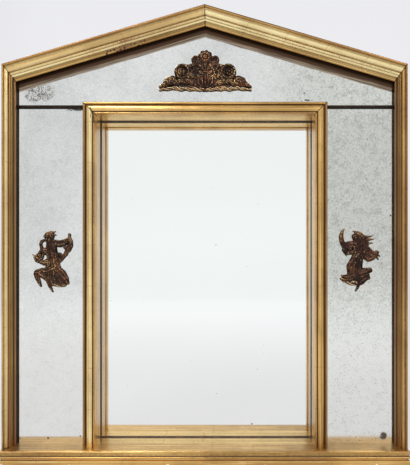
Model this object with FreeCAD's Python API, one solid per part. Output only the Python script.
import FreeCAD, Part
import math
import os

os.makedirs("parts", exist_ok=True)

# Millimetres. X runs to the viewer's right, the front faces -Y and Z is up.
# The origin is in the middle of the depth, on the centre line, under the base.
# A level is a height above the wall: level 0 is the wall plane.

# Overall sizes
inner_width = 492.0
inner_top_height = 741.5
border_width = 154.0
frieze_height = 68.2
gable_rise = 117.5
depth = 97.0

# Base moulding
base_height = 50.0
base_overhang = 2.0
base_skin = 12.0

# Outer moulding
stile_moulding_width = 17.7
rake_moulding_width = 30.0
outer_rise = 33.0
lip_height = 7.5
rebate_wall_share = 0.45
slip_setback_share = 0.12

# Inner frame
inner_moulding_width = 25.0
inner_rise = 20.0

# Glass and backing
glass_thickness = 4.0
backing_thickness = 6.0
border_glass_level = 48.0
glass_clearance = 0.5
glass_edge_gap = 1.0
inner_cover = 5.0
joint_gap = 8.0
joint_strip_thickness = 4.0
pediment_cover = 2.5
seat_depth = 6.0
seat_clearance = 0.3

# Centre recess
reveal_inset = 1.5
reveal_thickness = 8.0
shadow_gap = 3.5
spacer_thickness = 5.0
backboard_level = 4.0
backboard_thickness = 4.0
post_clearance = 1.0

# Carcass
carcass_inset = 1.5
carcass_thickness = 18.0
batten_width = 18.0
batten_thickness = 18.0
rail_thickness = 22.0
rail_top_gap = 5.1
rail_lap = 15.0
glue_block_leg = 30.0
glue_block_thickness = 20.0
glue_block_level = 8.0

# Sprigs that hold the backboard
sprig_length = 12.0
sprig_width = 3.0
sprig_thickness = 1.2
sprig_side_heights_share = (0.12, 0.37, 0.63, 0.88)

# Bronze ornaments
crest_height = 86.0
crest_rise = 26.5
figure_left_height = 125.5
figure_left_foot_height = 358.0
figure_left_offset = 4.5
figure_right_height = 128.5
figure_right_foot_height = 359.5
figure_right_offset = -3.5
crest_relief = 9.0
figure_relief = 8.5
tier_share = 0.55
crown_share = 0.62

# Studs, nuts and their holes
stud_radius = 2.0
stud_hole_radius = 2.6
stud_end = 2.3
nut_bore_radius = 2.06
nut_across_flats = 7.0
nut_height = 3.2

# Hangers
hanger_spacing = 600.0
hanger_drop = 18.0
strap_width = 18.0
strap_length = 45.0
strap_thickness = 1.5
curl_bore_radius = 1.83
curl_stand = 0.4
ring_wire_radius = 1.75
ring_width = 34.0
ring_drop = 30.0
ring_corner_radius = 6.0
screw_head_radius = 3.4
screw_head_height = 1.8
screw_shank_radius = 1.6
screw_length = 16.0
screw_hole_radius = 1.9
screw_places_share = (0.28, 0.84)

# Outlines. A step with one point is a straight line, with two it is an arc.
# Outer moulding: share of the face width from the outer edge, share of the rise.
outer_profile_shares = [
    (0, 0.955),
    ((0.062, 1.0), (0.147, 0.964)),
    ((0.147, 0.927),),
    ((0.192, 0.836), (0.282, 0.797)),
    ((0.43, 0.75), (0.508, 0.642)),
    ((0.520, 0.588),),
    ((0.559, 0.588),),
    ((0.559, 0.606),),
    ((0.644, 0.573), (0.672, 0.509)),
    ((0.763, 0.467), (0.785, 0.382)),
    ((0.802, 0.321), (0.881, 0.3)),
    ((0.972, 0.294), (1.0, 0.26)),
]
# Inner moulding: share of the width from the outer edge, share of the rise.
inner_profile_shares = [
    (0, 0.62),
    ((0.092, 0.71), (0.184, 0.65)),
    ((0.196, 0.59),),
    ((0.24, 0.56), (0.28, 0.6)),
    ((0.28, 0.63),),
    ((0.54, 1.0), (0.824, 0.87)),
    ((0.832, 0.795),),
    ((0.892, 0.795),),
    ((0.892, 0.85),),
    ((0.948, 0.9), (1.0, 0.83)),
]
# Base moulding: depth behind the front as a share of the skin, share of the height.
base_profile_shares = [
    (0.133, 1.0),
    ((0.09, 0.995), (0.07, 0.97)),
    ((0.22, 0.88), (0.18, 0.79)),
    ((0.03, 0.755), (0.18, 0.72)),
    ((0.4, 0.71),),
    ((0.4, 0.65),),
    ((0.12, 0.64),),
    ((0, 0.53), (0.14, 0.43)),
    ((0.2, 0.425),),
    ((0.2, 0.12),),
    ((0, 0.06), (0.18, 0)),
]

# Relief strokes, each point as (x, z, radius) in shares of the ornament's height.
crest_middle_shares = [
    [(0, 0.83, 0.168)],
    [(0, 0.7, 0.1), (0, 0.42, 0.12), (0, 0.12, 0.1)],
]
crest_side_shares = [
    [(0.1, 0.72, 0.05), (0.2, 0.66, 0.045)],
    [(0.1, 0.5, 0.08), (0.15, 0.33, 0.09), (0.28, 0.24, 0.08), (0.4, 0.22, 0.07)],
    [(0.3, 0.64, 0.045), (0.42, 0.6, 0.045)],
    [(0.3, 0.36, 0.05), (0.4, 0.34, 0.05)],
    [(0.54, 0.47, 0.08), (0.66, 0.52, 0.05)],
    [(0.4, 0.2, 0.07), (0.57, 0.22, 0.08), (0.73, 0.2, 0.1)],
    [(0.73, 0.2, 0.1), (0.84, 0.24, 0.12), (0.93, 0.2, 0.09), (1.0, 0.13, 0.05), (1.1, 0.085, 0.012)],
    [(0, 0.06, 0.05), (0.15, 0.05, 0.045), (0.3, 0.07, 0.05), (0.45, 0.05, 0.045), (0.62, 0.085, 0.055),
     (0.8, 0.07, 0.04)],
]
# Scroll rings as (x, z, middle radius, half width).
crest_ring_shares = [
    (0.235, 0.76, 0.065, 0.032),
    (0.217, 0.575, 0.065, 0.036),
    (0.265, 0.445, 0.055, 0.03),
    (0.54, 0.47, 0.15, 0.042),
]
crest_stud_shares = [(-0.1, 0.5), (0.1, 0.5)]

figure_left_shares = [
    [(-0.026, 0.926, 0.06), (-0.068, 0.942, 0.055)],
    [(-0.068, 0.942, 0.05), (-0.113, 0.905, 0.025)],
    [(-0.026, 0.97, 0.02), (0.044, 0.985, 0.008)],
    [(-0.026, 0.88, 0.04), (-0.01, 0.81, 0.066), (0.015, 0.678, 0.06), (0.04, 0.545, 0.066),
     (0.045, 0.42, 0.082), (0.064, 0.331, 0.087)],
    [(0.04, 0.81, 0.035), (0.139, 0.81, 0.028), (0.23, 0.843, 0.025), (0.28, 0.884, 0.022)],
    [(0.073, 0.76, 0.035), (0.155, 0.752, 0.028)],
    [(0.281, 0.926, 0.021), (0.29, 0.851, 0.034), (0.28, 0.777, 0.041), (0.25, 0.711, 0.043),
     (0.193, 0.669, 0.03)],
    [(0.25, 0.711, 0.035), (0.238, 0.625, 0.022), (0.205, 0.603, 0.028), (0.151, 0.545, 0.035),
     (0.1, 0.52, 0.03)],
    [(0.118, 0.62, 0.02), (0.07, 0.6, 0.03)],
    [(-0.03, 0.83, 0.04), (-0.159, 0.822, 0.03), (-0.171, 0.76, 0.023), (-0.146, 0.694, 0.028),
     (-0.208, 0.612, 0.025), (-0.266, 0.579, 0.023), (-0.315, 0.615, 0.008)],
    [(-0.266, 0.575, 0.023), (-0.245, 0.5, 0.02), (-0.175, 0.471, 0.026), (-0.117, 0.446, 0.026),
     (-0.084, 0.488, 0.035), (-0.02, 0.5, 0.04)],
    [(-0.245, 0.54, 0.028), (-0.19, 0.54, 0.03), (-0.17, 0.48, 0.026)],
    [(-0.146, 0.7, 0.028), (-0.06, 0.665, 0.04), (0, 0.66, 0.04)],
    [(-0.2, 0.61, 0.025), (-0.138, 0.62, 0.025), (-0.06, 0.64, 0.03)],
    [(-0.076, 0.46, 0.025), (-0.09, 0.36, 0.03)],
    [(0.03, 0.34, 0.08), (-0.076, 0.314, 0.07), (-0.183, 0.331, 0.062), (-0.258, 0.306, 0.05)],
    [(-0.076, 0.314, 0.07), (-0.051, 0.231, 0.074), (0, 0.157, 0.058)],
    [(0.064, 0.331, 0.087), (0.147, 0.281, 0.074), (0.188, 0.198, 0.07), (0.238, 0.149, 0.035)],
    [(0.05, 0.2, 0.07), (0.106, 0.14, 0.041), (0.188, 0.12, 0.03)],
    [(-0.237, 0.27, 0.045), (-0.217, 0.174, 0.028), (-0.182, 0.093, 0.012)],
    [(-0.04, 0.18, 0.05), (-0.031, 0.09, 0.028), (0.008, 0.014, 0.013)],
]
figure_left_stud_shares = [(-0.005, 0.79), (0.06, 0.34)]

figure_right_shares = [
    [(-0.063, 0.855, 0.047), (-0.02, 0.8, 0.04), (0.018, 0.718, 0.069), (0.002, 0.621, 0.069),
     (-0.047, 0.508, 0.081), (-0.095, 0.395, 0.097), (-0.095, 0.298, 0.085)],
    [(-0.031, 0.915, 0.039), (0.01, 0.879, 0.058), (0.05, 0.823, 0.063), (0.09, 0.774, 0.048)],
    [(-0.039, 0.935, 0.018), (-0.099, 0.945, 0.007)],
    [(-0.07, 0.9, 0.018), (-0.114, 0.891, 0.007)],
    [(0.06, 0.84, 0.04), (0.195, 0.875, 0.008)],
    [(0.09, 0.8, 0.04), (0.225, 0.825, 0.008)],
    [(0.1, 0.77, 0.036), (0.207, 0.766, 0.008)],
    [(-0.236, 0.994, 0.006), (-0.273, 0.948, 0.023), (-0.287, 0.863, 0.032), (-0.26, 0.774, 0.037),
     (-0.232, 0.718, 0.039), (-0.232, 0.661, 0.034), (-0.204, 0.605, 0.035), (-0.144, 0.605, 0.029),
     (-0.079, 0.617, 0.032), (-0.023, 0.677, 0.037)],
    [(-0.232, 0.718, 0.039), (-0.192, 0.766, 0.035), (-0.119, 0.766, 0.031), (-0.055, 0.742, 0.034),
     (-0.023, 0.677, 0.037)],
    [(-0.204, 0.605, 0.03), (-0.208, 0.562, 0.008)],
    [(-0.21, 0.69, 0.04), (-0.165, 0.69, 0.03)],
    [(0.04, 0.75, 0.05), (0.131, 0.685, 0.036), (0.203, 0.629, 0.029), (0.244, 0.589, 0.032)],
    [(0.244, 0.6, 0.03), (0.28, 0.611, 0.032)],
    [(0.255, 0.575, 0.025), (0.286, 0.515, 0.009)],
    [(0.27, 0.59, 0.02), (0.312, 0.565, 0.008)],
    [(0.06, 0.66, 0.05), (0.147, 0.565, 0.06), (0.151, 0.5, 0.035)],
    [(0.147, 0.55, 0.05), (0.225, 0.56, 0.04)],
    [(0.02, 0.6, 0.05), (0.015, 0.5, 0.05), (0, 0.4, 0.05), (0.02, 0.28, 0.06)],
    [(0.018, 0.27, 0.065), (0.098, 0.306, 0.065), (0.165, 0.343, 0.03)],
    [(0.03, 0.25, 0.06), (0.09, 0.226, 0.06), (0.034, 0.153, 0.034)],
    [(-0.095, 0.27, 0.08), (-0.127, 0.218, 0.073), (-0.2, 0.21, 0.05), (-0.269, 0.226, 0.032),
     (-0.285, 0.25, 0.014)],
    [(-0.2, 0.2, 0.04), (-0.27, 0.195, 0.03)],
    [(-0.127, 0.2, 0.06), (-0.1, 0.145, 0.042), (-0.047, 0.15, 0.045), (0.01, 0.125, 0.028),
     (-0.015, 0.065, 0.021), (-0.057, 0.013, 0.012)],
    [(-0.05, 0.24, 0.06), (-0.01, 0.17, 0.05)],
]
figure_right_stud_shares = [(0.0, 0.63), (-0.09, 0.31)]

# How far cutting shapes run past what they cut
overrun = 50.0

HALF = 0.5

# Places that follow from the sizes
inner_half_width = inner_width * HALF
half_width = inner_half_width + border_width
eave_height = inner_top_height + frieze_height
slope = gable_rise / half_width
slope_cos = 1 / math.hypot(1, slope)
slope_sin = slope * slope_cos
glass_front = border_glass_level + glass_thickness
backing_rear = border_glass_level - backing_thickness
lip_level = glass_front + lip_height
rake_wall = rake_moulding_width * rebate_wall_share
stile_wall = stile_moulding_width * rebate_wall_share
panel_half_width = half_width - stile_wall - glass_edge_gap
sight_half_width = inner_half_width - inner_moulding_width
sight_height = inner_top_height - inner_moulding_width
panel_inner_x = inner_half_width - inner_cover
post_outer_x = panel_inner_x - post_clearance
reveal_half_width = sight_half_width + reveal_inset
reveal_head_height = sight_height + reveal_inset
recess_half_width = reveal_half_width + reveal_thickness
recess_height = reveal_head_height + reveal_thickness
centre_glass_level = backboard_level + backboard_thickness
spacer_level = centre_glass_level + glass_thickness
reveal_level = spacer_level + spacer_thickness + shadow_gap
pediment_foot = inner_top_height - pediment_cover
side_panel_top = pediment_foot - joint_gap
head_height = pediment_foot - pediment_cover
carcass_outer_x = half_width - carcass_inset
carcass_inner_x = carcass_outer_x - carcass_thickness
rail_level = backing_rear - rail_thickness
base_half_width = half_width + base_overhang
panel_seat_height = base_height - seat_depth
base_body_x = base_half_width - base_skin
ring_level = rail_level - curl_stand - curl_bore_radius - strap_thickness


def level_y(level):
    """The Y of a height above the wall."""
    return depth * HALF - level


def mirrored(shape):
    """The same piece on the other side of the centre line."""
    return shape.mirror(FreeCAD.Vector(0, 0, 0), FreeCAD.Vector(1, 0, 0))


def polygon_face(corners):
    return Part.Face(Part.makePolygon(corners + corners[:1]))


def slab(corners, low, high):
    """A flat piece between two levels, from its (x, z) corners."""
    face = polygon_face([FreeCAD.Vector(x, level_y(high), z) for x, z in corners])
    return face.extrude(FreeCAD.Vector(0, high - low, 0))


def block(x_low, x_high, z_low, z_high, low, high):
    corners = [(x_low, z_low), (x_high, z_low), (x_high, z_high), (x_low, z_high)]
    return slab(corners, low, high)


def gable(x, inset):
    """Height of the sloping outer line at x, brought in squarely by the inset."""
    return eave_height + (half_width - abs(x)) * slope - inset / slope_cos


def gable_corner(x, inset):
    return (x, gable(x, inset))


rail_top_height = gable(carcass_inner_x, carcass_inset + carcass_thickness) - rail_top_gap
rail_bottom_height = side_panel_top - rail_lap
hanger_height = rail_top_height - hanger_drop
crest_foot_height = pediment_foot + crest_rise
panel_middle_x = (panel_half_width + panel_inner_x) * HALF
figure_left_x = figure_left_offset - panel_middle_x
figure_right_x = figure_right_offset + panel_middle_x


def profile_edges(shares, place):
    """Lines and arcs through an outline, with its first and last places."""
    edges = []
    here = place(*shares[0])
    first = here
    for step in shares[1:]:
        end = place(*step[-1])
        if len(step) == 1:
            edges.append(Part.LineSegment(here, end).toShape())
        else:
            edges.append(Part.Arc(here, place(*step[0]), end).toShape())
        here = end
    return edges, first, here


def closed_section(shares, place, tail):
    """A face bounded by an outline and by straight lines through the tail points."""
    edges, first, here = profile_edges(shares, place)
    for point in tail + [first]:
        edges.append(Part.LineSegment(here, point).toShape())
        here = point
    return Part.Face(Part.Wire(edges))


def run_of(face, direction, region):
    """A moulding: a section drawn along a direction and cut to its region."""
    return face.extrude(direction).common(region)


def outer_section(origin, inward, moulding_width):
    """Section of the outer moulding: lip over the glass, wall beside it."""
    def place(across, up):
        shift = inward * (across * moulding_width)
        return origin + shift + FreeCAD.Vector(0, level_y(glass_front + up * outer_rise), 0)

    def plain(across, level):
        return origin + inward * across + FreeCAD.Vector(0, level_y(level), 0)

    wall = moulding_width * rebate_wall_share
    tail = [
        plain(moulding_width, lip_level),
        plain(wall, lip_level),
        plain(wall, backing_rear),
        plain(0, backing_rear),
    ]
    return closed_section(outer_profile_shares, place, tail)


def outer_stile():
    """Left stile of the outer frame, mitred to the rake at the eave."""
    start = FreeCAD.Vector(-half_width, 0, base_height)
    face = outer_section(start, FreeCAD.Vector(1, 0, 0), stile_moulding_width)
    inner_x = -half_width + stile_moulding_width
    region = slab(
        [(-half_width, base_height), (inner_x, base_height),
         gable_corner(inner_x, rake_moulding_width), (-half_width, eave_height)],
        backing_rear, depth)
    return run_of(face, FreeCAD.Vector(0, 0, eave_height), region)


def rake_rail():
    """Left raking rail, mitred at the eave and at the apex."""
    along = FreeCAD.Vector(slope_cos, 0, slope_sin)
    inward = FreeCAD.Vector(slope_sin, 0, -slope_cos)
    start = FreeCAD.Vector(-half_width, 0, eave_height) - along * overrun
    face = outer_section(start, inward, rake_moulding_width)
    region = slab(
        [(-half_width, eave_height), gable_corner(0, 0), gable_corner(0, rake_moulding_width),
         gable_corner(-half_width + stile_moulding_width, rake_moulding_width)],
        backing_rear, depth)
    return run_of(face, along * (half_width / slope_cos + overrun * 2), region)


def slip_stile():
    """Black slip under the lip of the left stile."""
    face_x = -half_width + stile_moulding_width * (1 - slip_setback_share)
    wall_x = -half_width + stile_wall
    top_inset = rake_moulding_width * (1 - slip_setback_share)
    corners = [(wall_x, base_height), (face_x, base_height),
               gable_corner(face_x, top_inset), gable_corner(wall_x, rake_wall)]
    return slab(corners, glass_front, lip_level)


def slip_rake():
    """Black slip under the lip of the left raking rail."""
    face_x = -half_width + stile_moulding_width * (1 - slip_setback_share)
    wall_x = -half_width + stile_wall
    face_inset = rake_moulding_width * (1 - slip_setback_share)
    corners = [gable_corner(wall_x, rake_wall), gable_corner(0, rake_wall),
               gable_corner(0, face_inset), gable_corner(face_x, face_inset)]
    return slab(corners, glass_front, lip_level)


def inner_section(origin, inward):
    """Section of the inner moulding, flat on the glass and the post."""
    def place(across, up):
        shift = inward * (across * inner_moulding_width)
        return origin + shift + FreeCAD.Vector(0, level_y(glass_front + up * inner_rise), 0)

    return closed_section(inner_profile_shares, place, [place(1, 0), place(0, 0)])


def inner_stile():
    """Left stile of the inner frame, standing on the base rail."""
    start = FreeCAD.Vector(-inner_half_width, 0, base_height)
    face = inner_section(start, FreeCAD.Vector(1, 0, 0))
    region = slab(
        [(-inner_half_width, base_height), (-sight_half_width, base_height),
         (-sight_half_width, sight_height), (-inner_half_width, inner_top_height)],
        glass_front, depth)
    return run_of(face, FreeCAD.Vector(0, 0, inner_top_height), region)


def inner_top_rail():
    start = FreeCAD.Vector(-inner_half_width, 0, inner_top_height)
    face = inner_section(start, FreeCAD.Vector(0, 0, -1))
    region = slab(
        [(-inner_half_width, inner_top_height), (-sight_half_width, sight_height),
         (sight_half_width, sight_height), (inner_half_width, inner_top_height)],
        glass_front, depth)
    return run_of(face, FreeCAD.Vector(inner_width, 0, 0), region)


def base_section(place):
    """Section of the base moulding, from the place of its shares."""
    return closed_section(base_profile_shares, place, [place(1, 0), place(1, 1)])


def plan_prism(corners):
    """A prism over the base's height from its (x, level) corners."""
    face = polygon_face([FreeCAD.Vector(x, level_y(level), 0) for x, level in corners])
    return face.extrude(FreeCAD.Vector(0, 0, base_height))


def panel_seat():
    """The rebate in the top of the base that the border panels stand in."""
    half = panel_half_width + seat_clearance
    return block(-half, half, panel_seat_height, base_height + overrun,
                 backing_rear, glass_front + seat_clearance)


def base_rail():
    """Front moulding of the base, with the seat for the panels behind its top."""
    start = FreeCAD.Vector(-base_half_width, 0, 0)

    def place(back, up):
        return start + FreeCAD.Vector(0, level_y(depth - back * base_skin), up * base_height)

    front = base_section(place).extrude(FreeCAD.Vector(base_half_width * 2, 0, 0))
    skin_level = depth - base_skin
    skin_x = base_half_width - base_skin
    mitres = plan_prism([(-base_half_width, depth), (base_half_width, depth),
                         (skin_x, skin_level), (-skin_x, skin_level)])
    body = block(-skin_x, skin_x, 0, base_height, backing_rear, skin_level)
    return front.common(mitres).fuse(body).cut(panel_seat()).removeSplitter()


def base_return():
    """Left end of the base moulding, mitred to the front."""
    def place(back, up):
        return FreeCAD.Vector(-base_half_width + back * base_skin, level_y(depth), up * base_height)

    side = base_section(place).extrude(FreeCAD.Vector(0, depth, 0))
    skin_x = base_half_width - base_skin
    region = plan_prism([(-base_half_width, depth), (-skin_x, depth - base_skin),
                         (-skin_x, 0), (-base_half_width, 0)])
    return side.common(region).cut(panel_seat())


def pediment_panel(low, high):
    """A panel that fills the gable, from its level range."""
    edge = rake_wall + glass_edge_gap
    corners = [(-panel_half_width, pediment_foot), (panel_half_width, pediment_foot),
               gable_corner(panel_half_width, edge), gable_corner(0, edge),
               gable_corner(-panel_half_width, edge)]
    return slab(corners, low, high)


def side_panel(low, high):
    """A panel for the left border, standing in its seat on the base."""
    return block(-panel_half_width, -panel_inner_x, panel_seat_height + glass_clearance,
                 side_panel_top, low, high)


def joint_strip():
    """Dark strip in the joint between a side panel and the pediment panel."""
    return block(-panel_half_width, -panel_inner_x, side_panel_top, pediment_foot,
                 backing_rear, backing_rear + joint_strip_thickness)


def centre_panel(low, high):
    half = recess_half_width - glass_clearance
    return block(-half, half, panel_seat_height + glass_clearance,
                 recess_height - glass_clearance, low, high)


def recess_side(foot, low, high):
    """A board on the left side of the recess, up to the head."""
    return block(-recess_half_width, -reveal_half_width, foot, recess_height, low, high)


def recess_top(low, high):
    return block(-reveal_half_width, reveal_half_width, reveal_head_height, recess_height, low, high)


def carcass_stile():
    corners = [(-carcass_outer_x, base_height), (-base_body_x, base_height), (-base_body_x, 0),
               (-carcass_inner_x, 0), gable_corner(-carcass_inner_x, carcass_inset + carcass_thickness),
               gable_corner(-carcass_outer_x, carcass_inset + carcass_thickness)]
    return slab(corners, 0, backing_rear)


def carcass_rake():
    corners = [gable_corner(-carcass_outer_x, carcass_inset), gable_corner(0, carcass_inset),
               gable_corner(0, carcass_inset + carcass_thickness),
               gable_corner(-carcass_outer_x, carcass_inset + carcass_thickness)]
    return slab(corners, 0, backing_rear)


def hanging_rail():
    """Rail behind the joint of the panels, notched over the head of the recess."""
    rail = block(-carcass_inner_x, carcass_inner_x, rail_bottom_height, rail_top_height,
                 rail_level, backing_rear)
    notch = block(-post_outer_x, post_outer_x, rail_bottom_height - overrun, head_height,
                  rail_level - overrun, backing_rear + overrun)
    rail = rail.cut(notch)
    for x, z in screw_places():
        rail = rail.cut(rod(screw_shank_radius, x, z, rail_level - strap_thickness, screw_length))
    return rail


def rod(radius, x, z, low, length):
    """A round bar square to the wall, from a level outwards."""
    foot = FreeCAD.Vector(x, level_y(low), z)
    return Part.makeCylinder(radius, length, foot, FreeCAD.Vector(0, -1, 0))


def disc(x, z, radius):
    centre = FreeCAD.Vector(x, level_y(glass_front), z)
    return Part.Face(Part.Wire(Part.makeCircle(radius, centre, FreeCAD.Vector(0, 1, 0))))


def taper(start, end):
    """The flat between two discs, each given as (x, z, radius)."""
    away_x = end[0] - start[0]
    away_z = end[1] - start[1]
    length = math.hypot(away_x, away_z)
    corners = []
    for point, side in ((start, 1), (end, 1), (end, -1), (start, -1)):
        x = point[0] - side * point[2] * away_z / length
        z = point[1] + side * point[2] * away_x / length
        corners.append(FreeCAD.Vector(x, level_y(glass_front), z))
    return polygon_face(corners)


def silhouette(strokes, rings, middle_x, foot, height, share):
    """All strokes and rings on the glass as flat faces, their widths cut to a share."""
    faces = []
    for stroke in strokes:
        spots = [(middle_x + x * height, foot + z * height, radius * height * share)
                 for x, z, radius in stroke]
        faces += [disc(*spot) for spot in spots]
        faces += [taper(spots[i], spots[i + 1]) for i in range(len(spots) - 1)]
    for x, z, middle, half in rings:
        outer = disc(middle_x + x * height, foot + z * height, (middle + half * share) * height)
        inner = disc(middle_x + x * height, foot + z * height, (middle - half * share) * height)
        faces.append(outer.cut(inner))
    joined = faces[0].multiFuse(faces[1:])
    return Part.makeShell(joined.Faces).removeSplitter().Faces


def bronze(strokes, rings, middle_x, foot, height, relief):
    """A cast ornament in two tiers of relief, flat on the glass."""
    tiers = ((1, relief * tier_share), (crown_share, relief))
    pieces = []
    for share, rise in tiers:
        faces = silhouette(strokes, rings, middle_x, foot, height, share)
        pieces += [face.extrude(FreeCAD.Vector(0, -rise, 0)) for face in faces]
    return pieces[0].multiFuse(pieces[1:]).removeSplitter()


def both_sides(shares):
    """Strokes or rings of the right half, with their mirror images."""
    flipped = []
    for item in shares:
        if isinstance(item, tuple):
            flipped.append((-item[0],) + item[1:])
        else:
            flipped.append([(-x, z, radius) for x, z, radius in item])
    return shares + flipped


def stud_places():
    """The (x, z) of every stud on the back of the bronzes."""
    groups = (
        (crest_stud_shares, 0, crest_foot_height, crest_height),
        (figure_left_stud_shares, figure_left_x, figure_left_foot_height, figure_left_height),
        (figure_right_stud_shares, figure_right_x, figure_right_foot_height, figure_right_height),
    )
    return [(middle + x * height, foot + z * height)
            for shares, middle, foot, height in groups for x, z in shares]


def drilled(panel):
    """A panel with clearance holes for the studs that pass through it."""
    for x, z in stud_places():
        panel = panel.cut(rod(stud_hole_radius, x, z, backing_rear - overrun, depth + overrun))
    return panel


def stud(x, z):
    foot = backing_rear - nut_height - stud_end
    return rod(stud_radius, x, z, foot, glass_front - foot)


def nut(x, z):
    corners = []
    for corner in range(6):
        angle = math.radians(60 * corner)
        reach = nut_across_flats * HALF / math.cos(math.radians(30))
        corners.append((x + reach * math.cos(angle), z + reach * math.sin(angle)))
    body = slab(corners, backing_rear - nut_height, backing_rear)
    return body.cut(rod(nut_bore_radius, x, z, backing_rear - nut_height - overrun, depth))


def screw_places():
    """The (x, z) of the hanger screws on both straps."""
    return [(side * hanger_spacing * HALF, hanger_height - share * strap_length)
            for side in (-1, 1) for share in screw_places_share]


def hanger_strap(x):
    """Steel strap on the rail, its top end curled round the ring's bar."""
    plate = block(x - strap_width * HALF, x + strap_width * HALF, hanger_height - strap_length,
                  hanger_height, rail_level - strap_thickness, rail_level)
    end = FreeCAD.Vector(x - strap_width * HALF, level_y(ring_level), hanger_height)
    along = FreeCAD.Vector(1, 0, 0)
    curl = Part.makeCylinder(curl_bore_radius + strap_thickness, strap_width, end, along)
    bore = Part.makeCylinder(curl_bore_radius, strap_width + overrun * 2, end - along * overrun, along)
    strap = plate.fuse(curl).cut(bore)
    for hole_x, hole_z in screw_places():
        strap = strap.cut(rod(screw_hole_radius, hole_x, hole_z, ring_level, rail_thickness))
    return strap


def wire_run(start, end):
    away = end - start
    return Part.makeCylinder(ring_wire_radius, away.Length, start, away)


def wire_bend(centre, quarter):
    """A quarter bend of the ring's wire, counted on from the top right corner."""
    axis = FreeCAD.Vector(0, 1, 0)
    turn = FreeCAD.Rotation(axis, 90 * quarter)
    start = centre + turn.multVec(FreeCAD.Vector(0, 0, ring_corner_radius))
    along = turn.multVec(FreeCAD.Vector(1, 0, 0))
    face = Part.Face(Part.Wire(Part.makeCircle(ring_wire_radius, start, along)))
    return face.revolve(centre, axis, 90)


def hanger_ring(x):
    """Closed loop of wire, its top bar in the curl, hanging over the strap."""
    y = level_y(ring_level)
    half = ring_width * HALF
    left, right = x - half, x + half
    top, foot = hanger_height, hanger_height - ring_drop
    inset = ring_corner_radius
    runs = [
        ((left + inset, top), (right - inset, top)),
        ((right, top - inset), (right, foot + inset)),
        ((right - inset, foot), (left + inset, foot)),
        ((left, foot + inset), (left, top - inset)),
    ]
    pieces = [wire_run(FreeCAD.Vector(a, y, b), FreeCAD.Vector(c, y, d)) for (a, b), (c, d) in runs]
    corners = [(right - inset, top - inset), (right - inset, foot + inset),
               (left + inset, foot + inset), (left + inset, top - inset)]
    for quarter, (corner_x, corner_z) in enumerate(corners):
        pieces.append(wire_bend(FreeCAD.Vector(corner_x, y, corner_z), quarter))
    return pieces[0].multiFuse(pieces[1:]).removeSplitter()


def hanger_screw(x, z):
    """A round-headed screw through the strap into the rail."""
    head_level = rail_level - strap_thickness
    head = rod(screw_head_radius, x, z, head_level - screw_head_height, screw_head_height)
    return head.fuse(rod(screw_shank_radius, x, z, head_level, screw_length))


def sprigs():
    """Small pins in the posts and the head that keep the backboard in."""
    low = backboard_level - sprig_thickness
    height = recess_height - panel_seat_height
    pieces = []
    for share in sprig_side_heights_share:
        z = panel_seat_height + height * share
        side = block(-recess_half_width, -recess_half_width + sprig_length,
                     z, z + sprig_width, low, backboard_level)
        x = -recess_half_width + recess_half_width * 2 * share
        top = block(x, x + sprig_width, recess_height - sprig_length, recess_height,
                    low, backboard_level)
        pieces += [side, mirrored(side), top]
    return pieces


def glue_blocks():
    """Three-cornered blocks in the corners of the carcass."""
    corner_x = -carcass_inner_x
    pieces = []
    for z, rise, low in ((panel_seat_height, glue_block_leg, glue_block_level),
                         (rail_bottom_height, -glue_block_leg, rail_level)):
        corners = [(corner_x, z), (corner_x + glue_block_leg, z), (corner_x, z + rise)]
        piece = slab(corners, low, low + glue_block_thickness)
        pieces += [piece, mirrored(piece)]
    return pieces


def export(name, shape):
    shape.exportStep("parts/%s.step" % name)


def export_pair(name, left):
    export(name + "_left", left)
    export(name + "_right", mirrored(left))


def export_group(name, pieces):
    export(name, Part.makeCompound(pieces))


def make_base():
    export("base_rail", base_rail())
    export_pair("base_return", base_return())


def make_outer_frame():
    export_pair("outer_stile", outer_stile())
    export_pair("rake_rail", rake_rail())
    export_pair("slip", slip_stile())
    export_pair("slip_rake", slip_rake())


def make_border_panels():
    """Antique mirror glass of the border, each sheet with its board behind."""
    export("pediment_glass", drilled(pediment_panel(border_glass_level, glass_front)))
    export("pediment_backing", drilled(pediment_panel(backing_rear, border_glass_level)))
    for side, turn in (("left", lambda shape: shape), ("right", mirrored)):
        glass = turn(side_panel(border_glass_level, glass_front))
        backing = turn(side_panel(backing_rear, border_glass_level))
        export("side_glass_" + side, drilled(glass))
        export("side_backing_" + side, drilled(backing))
    export_pair("joint_strip", joint_strip())


def make_inner_frame():
    export_pair("inner_stile", inner_stile())
    export("inner_top_rail", inner_top_rail())


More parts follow.
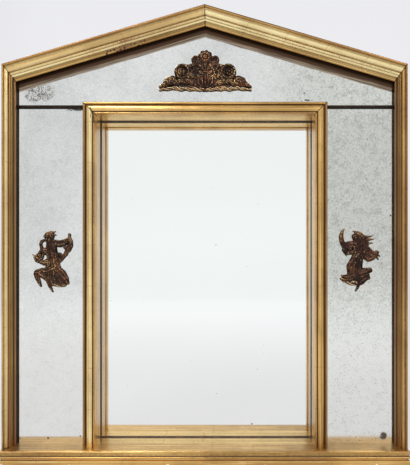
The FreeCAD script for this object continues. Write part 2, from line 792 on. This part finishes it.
def make_recess():
    """Reveal boards, centre glass and what holds the glass in its box."""
    export_pair("reveal", recess_side(base_height, reveal_level, glass_front))
    export("reveal_top", recess_top(reveal_level, glass_front))
    export("reveal_sill", block(-recess_half_width, recess_half_width, panel_seat_height,
                                base_height, reveal_level, glass_front + seat_clearance))
    export_pair("glass_spacer", recess_side(panel_seat_height, spacer_level,
                                            spacer_level + spacer_thickness))
    export("glass_spacer_top", recess_top(spacer_level, spacer_level + spacer_thickness))
    export("glass_spacer_bottom", block(-reveal_half_width, reveal_half_width, panel_seat_height,
                                        base_height, spacer_level, spacer_level + spacer_thickness))
    export("centre_glass", centre_panel(centre_glass_level, spacer_level))
    export("centre_backboard", centre_panel(backboard_level, centre_glass_level))
    export_group("backboard_sprigs", sprigs())


def make_carcass():
    export_pair("carcass_stile", carcass_stile())
    export_pair("carcass_rake", carcass_rake())
    export("carcass_bottom", block(-carcass_inner_x, carcass_inner_x, 0, panel_seat_height,
                                   0, backing_rear))
    export_pair("post", block(-post_outer_x, -recess_half_width, panel_seat_height, head_height,
                              0, glass_front))
    export("recess_head", block(-recess_half_width, recess_half_width, recess_height, head_height,
                                0, glass_front))
    export_pair("side_batten", block(-post_outer_x - batten_width, -post_outer_x, panel_seat_height,
                                     rail_bottom_height, backing_rear - batten_thickness,
                                     backing_rear))
    export("hanging_rail", hanging_rail())
    export_group("glue_blocks", glue_blocks())


def make_bronzes():
    export("crest_ornament", bronze(crest_middle_shares + both_sides(crest_side_shares),
                                    both_sides(crest_ring_shares), 0, crest_foot_height,
                                    crest_height, crest_relief))
    export("figure_left", bronze(figure_left_shares, [], figure_left_x, figure_left_foot_height,
                                 figure_left_height, figure_relief))
    export("figure_right", bronze(figure_right_shares, [], figure_right_x,
                                  figure_right_foot_height, figure_right_height, figure_relief))
    export_group("ornament_studs", [stud(x, z) for x, z in stud_places()])
    export_group("ornament_nuts", [nut(x, z) for x, z in stud_places()])


def make_hangers():
    half = hanger_spacing * HALF
    for side, x in (("left", -half), ("right", half)):
        export("hanger_strap_" + side, hanger_strap(x))
        export("hanger_ring_" + side, hanger_ring(x))
    export_group("hanger_screws", [hanger_screw(x, z) for x, z in screw_places()])


make_base()
make_outer_frame()
make_border_panels()
make_inner_frame()
make_recess()
make_carcass()
make_bronzes()
make_hangers()
